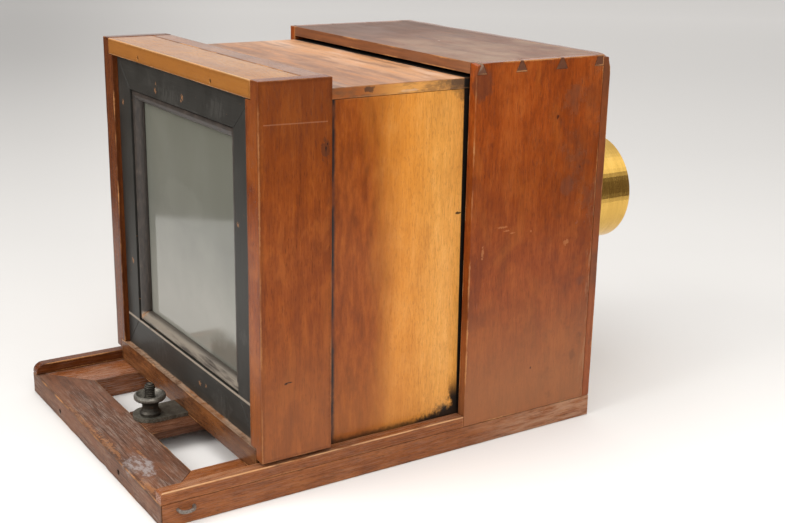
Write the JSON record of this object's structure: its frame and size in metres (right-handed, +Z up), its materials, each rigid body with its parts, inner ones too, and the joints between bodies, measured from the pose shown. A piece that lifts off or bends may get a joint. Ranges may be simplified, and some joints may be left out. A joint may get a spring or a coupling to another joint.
{
  "type": "view camera",
  "caption": "Antique sliding-box view camera: wooden box on a framed base, rear box sliding in the front one, lift-out ground glass, clamp nut and brass portrait lens.",
  "frame": {"origin": "middle of the whole camera's outline at the level the base rests on", "axes": "lens towards -Y, ground glass towards +Y, +Z up, +X to the operator's left"},
  "size_m": [0.3104, 0.5344, 0.3207],
  "materials": {
    "weathered_wood": "worn, weathered",
    "brown_wood": "worn varnish",
    "red_mahogany": "old varnish",
    "dark_wood": "old varnish",
    "honey_wood": "old varnish",
    "black_paint": "matt black paint, chipped",
    "dark_stain": "dark stain, worn",
    "ground_glass": "ground on the front side",
    "lens_glass": "polished",
    "brass": "lacquered, aged",
    "dark_iron": "dark bronze-grey, worn",
    "wire": "dull wire"
  },
  "bodies": {
    "camera_body": {"base_rear_rail": "weathered_wood", "base_stile_right": "weathered_wood", "base_stile_left": "weathered_wood", "base_front_board": "weathered_wood", "base_centre_slat": "brown_wood", "guide_strip_right": "red_mahogany", "guide_strip_left": "red_mahogany", "base_staple_right": "wire", "base_staple_left": "wire", "front_box_side_right": "red_mahogany", "front_box_side_left": "red_mahogany", "front_box_top": "brown_wood", "lens_panel": "red_mahogany", "lens_flange": "brass", "flange_screw_1": "brass", "flange_screw_2": "brass", "flange_screw_3": "brass", "flange_screw_4": "brass", "lens_barrel": "brass", "pinion_bracket": "brass"},
    "sliding_box": {"slide_box_side_right": "red_mahogany", "slide_box_side_left": "red_mahogany", "slide_box_top": "brown_wood", "slide_box_bottom": "brown_wood", "cheek_right": "red_mahogany", "cheek_left": "red_mahogany", "carrier_top_plank": "dark_wood", "carrier_bottom_rail": "brown_wood", "clamp_strap": "dark_iron", "strap_screw_1": "dark_iron", "strap_screw_2": "dark_iron", "clamp_bolt": "dark_iron"},
    "focusing_screen": {"screen_frame_right": "black_paint", "screen_frame_left": "black_paint", "screen_frame_top": "black_paint", "screen_frame_bottom": "black_paint", "glass_bead_right": "dark_stain", "glass_bead_left": "dark_stain", "glass_bead_top": "dark_stain", "glass_bead_bottom": "dark_stain", "ground_glass": "ground_glass", "screen_cap": "honey_wood", "cap_nail_1": "dark_iron", "cap_nail_2": "dark_iron"},
    "clamp_nut": {"clamp_nut": "dark_iron"},
    "lens_tube": {"focus_tube": "brass", "lens_hood": "brass", "front_retaining_ring": "brass", "front_lens": "lens_glass", "rear_lens": "lens_glass", "rear_retaining_ring": "brass", "focus_rack": "brass"},
    "pinion": {"focus_pinion": "brass", "focus_knob": "brass"}
  },
  "joints": [
    {"name": "box_slide", "type": "slide", "parent": "camera_body", "child": "sliding_box", "axis": [0, 1, 0], "range_m": [-0.078, 0.001]},
    {"name": "screen_lift", "type": "slide", "parent": "sliding_box", "child": "focusing_screen", "axis": [0, 0, 1], "range_m": [0, 0.25]},
    {"name": "nut_turn", "type": "hinge", "parent": "sliding_box", "child": "clamp_nut", "pos_m": [0.001, 0.21365, 0.03], "axis": [0, 0, 1], "range_deg": [0, 720]},
    {"name": "lens_focus", "type": "slide", "parent": "camera_body", "child": "lens_tube", "axis": [0, -1, 0], "range_m": [-0.004, 0.025]},
    {"name": "pinion_turn", "type": "hinge", "parent": "camera_body", "child": "pinion", "pos_m": [0, -0.18085, 0.2174], "axis": [1, 0, 0], "range_deg": [-299, 48]}
  ],
  "couplings": [
    {"joint": "pinion_turn", "follows": "lens_focus", "rad_per_m": -208.33}
  ]
}
